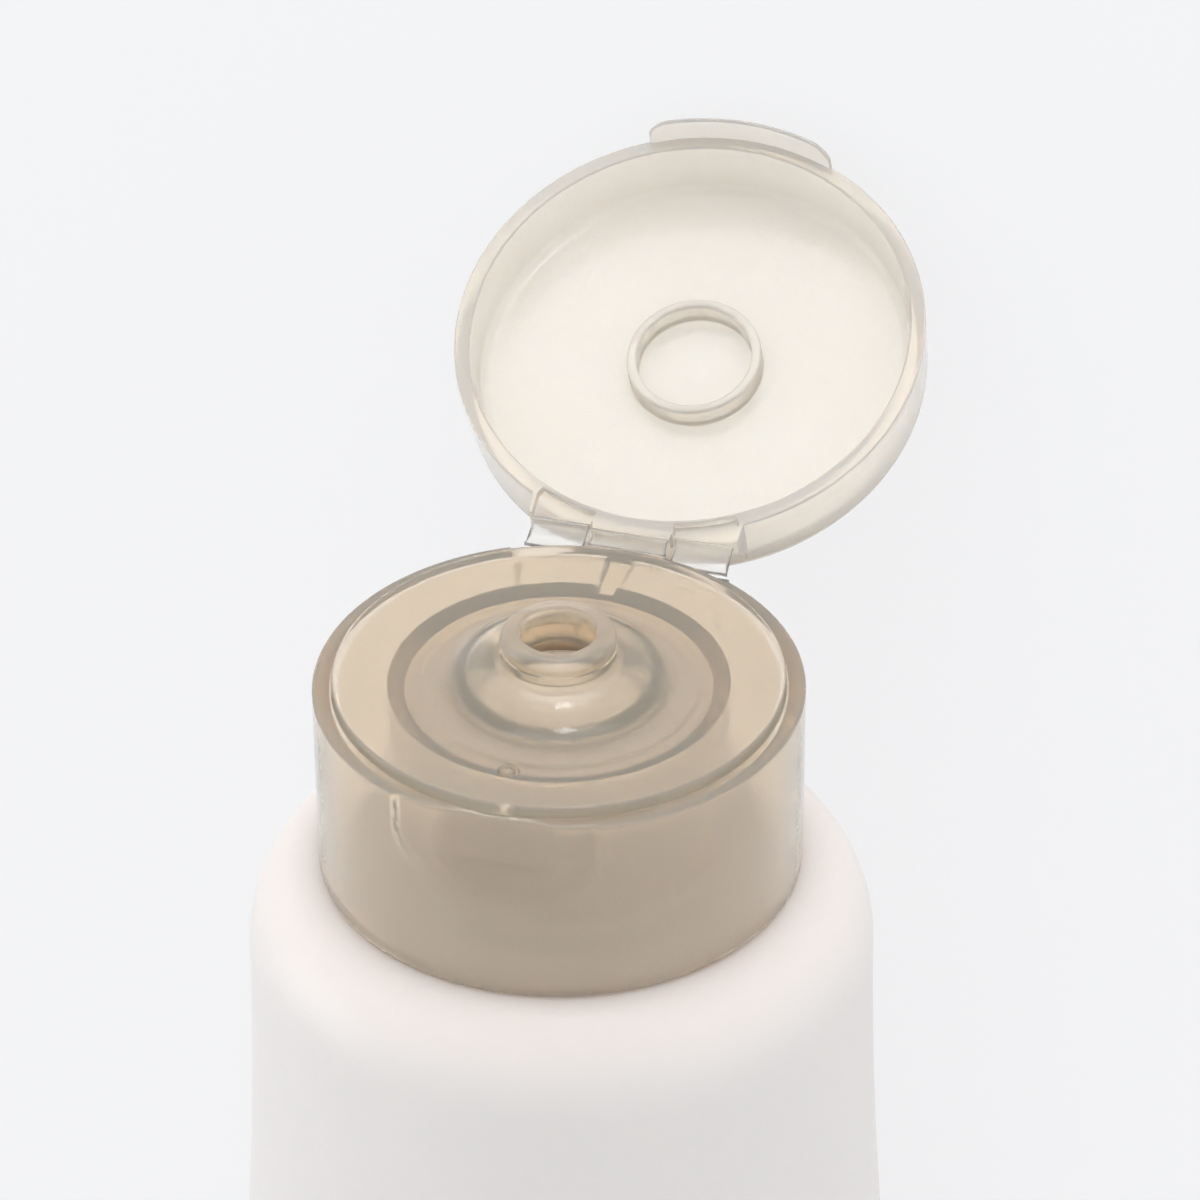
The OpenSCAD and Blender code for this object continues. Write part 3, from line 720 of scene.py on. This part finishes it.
# Floor and light
WORLD_LIGHT = 1.13
OVERHEAD = 0.42
FLOOR_HALF = 3.0
GLOW_SHARE = 0.85
AIM = (0, 0.05, 0.04)
SIDE_AIM = (0, 0.02, 0.03)


def seen_ray(nodes, links):
    """1 for a ray that the camera sees, straight, in a gloss or through plastic, and 0 for other light."""
    path = nodes.new("ShaderNodeLightPath")
    total = path.outputs["Is Camera Ray"]
    for kind in ("Is Glossy Ray", "Is Transmission Ray"):
        largest = nodes.new("ShaderNodeMath")
        largest.operation = "MAXIMUM"
        links.new(total, largest.inputs[0])
        links.new(path.outputs[kind], largest.inputs[1])
        total = largest.outputs[0]
    return total


def make_floor():
    """Pale floor: its plain colour for the light, and a pale even white for the camera."""
    mesh = bpy.data.meshes.new("floor")
    corners = [(x * FLOOR_HALF, y * FLOOR_HALF, 0) for x, y in ((-1, -1), (1, -1), (1, 1), (-1, 1))]
    mesh.from_pydata(corners, [], [(0, 1, 2, 3)])
    floor = bpy.data.objects.new("floor", mesh)
    bpy.context.scene.collection.objects.link(floor)
    material, shader = new_material("pale_floor")
    nodes, links = material.node_tree.nodes, material.node_tree.links
    shader.inputs["Base Color"].default_value = (0.92, 0.92, 0.92, 1)
    shader.inputs["Roughness"].default_value = 0.9
    glow = nodes.new("ShaderNodeEmission")
    glow.inputs["Color"].default_value = (0.875, 0.883, 0.90, 1)
    share = nodes.new("ShaderNodeMath")
    share.operation = "MULTIPLY"
    share.inputs[1].default_value = GLOW_SHARE
    links.new(seen_ray(nodes, links), share.inputs[0])
    mix = nodes.new("ShaderNodeMixShader")
    links.new(share.outputs[0], mix.inputs[0])
    links.new(shader.outputs[0], mix.inputs[1])
    links.new(glow.outputs[0], mix.inputs[2])
    links.new(mix.outputs[0], nodes["Material Output"].inputs["Surface"])
    mesh.materials.append(material)


def make_lamp(name, place, target, size, power):
    """A square soft lamp at a place of the CAD's frame, turned towards its target."""
    data = bpy.data.lights.new(name, "AREA")
    data.size = size
    data.energy = power
    lamp = bpy.data.objects.new(name, data)
    lamp.location = place
    lamp.rotation_euler = (Vector(target) - Vector(place)).to_track_quat("-Z", "Y").to_euler()
    bpy.context.scene.collection.objects.link(lamp)


def pale_sky(nodes, links):
    """Sky that is pale at the horizon and dims towards the side that the tube's front faces."""
    place = nodes.new("ShaderNodeTexCoord")
    facing = nodes.new("ShaderNodeVectorMath")
    facing.operation = "DOT_PRODUCT"
    facing.inputs[1].default_value = tuple(row_direction([0.0, -0.95, 0.3]))
    links.new(place.outputs["Generated"], facing.inputs[0])
    level = nodes.new("ShaderNodeMapRange")
    level.inputs["From Min"].default_value = 0.35
    level.inputs["To Min"].default_value = 1.0
    level.inputs["To Max"].default_value = OVERHEAD
    links.new(facing.outputs["Value"], level.inputs["Value"])
    sky = nodes.new("ShaderNodeBackground")
    sky.inputs["Color"].default_value = (0.91, 0.91, 0.915, 1)
    links.new(level.outputs["Result"], sky.inputs["Strength"])
    return sky


def make_world():
    """Soft even light, and a pale sky where the camera, a gloss or clear plastic shows it.

    The sky is darker overhead, so that dents and edges read in a gloss.
    """
    world = bpy.data.worlds.new("studio")
    bpy.context.scene.world = world
    world.use_nodes = True
    nodes, links = world.node_tree.nodes, world.node_tree.links
    light = nodes["Background"]
    light.inputs["Color"].default_value = (1.0, 0.985, 0.98, 1)
    light.inputs["Strength"].default_value = WORLD_LIGHT
    mix = nodes.new("ShaderNodeMixShader")
    links.new(seen_ray(nodes, links), mix.inputs[0])
    links.new(light.outputs[0], mix.inputs[1])
    links.new(pale_sky(nodes, links).outputs[0], mix.inputs[2])
    links.new(mix.outputs[0], nodes["World Output"].inputs["Surface"])


def fit_piece(piece, body, node):
    """Hides the CAD node that a piece stands for, and lets the piece ride on its body."""
    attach(piece, body)
    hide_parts(node)


fit_piece(make_tube(), "tube", "tube_body")
fit_piece(make_face_wash(), "tube", "cream_fill")
fit_piece(make_cap(), "cap", "cap_base")
fit_piece(make_lid(), "lid", "flip_lid")
web = make_web()
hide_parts("hinge_web")
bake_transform(web)

make_floor()
make_world()
make_lamp("top_lamp", tuple(to_row([60.0, -60.0, 800.0])), AIM, size=0.12, power=0.35)
make_lamp("wide_lamp", tuple(to_row([0.0, 250.0, 800.0])), AIM, size=0.6, power=1.6)
make_lamp("left_lamp", (-0.65, 0.0, 0.2), SIDE_AIM, size=0.4, power=0.6)
make_lamp("right_lamp", (0.65, 0.0, 0.2), SIDE_AIM, size=0.4, power=0.15)
bpy.context.scene.view_settings.view_transform = "Standard"
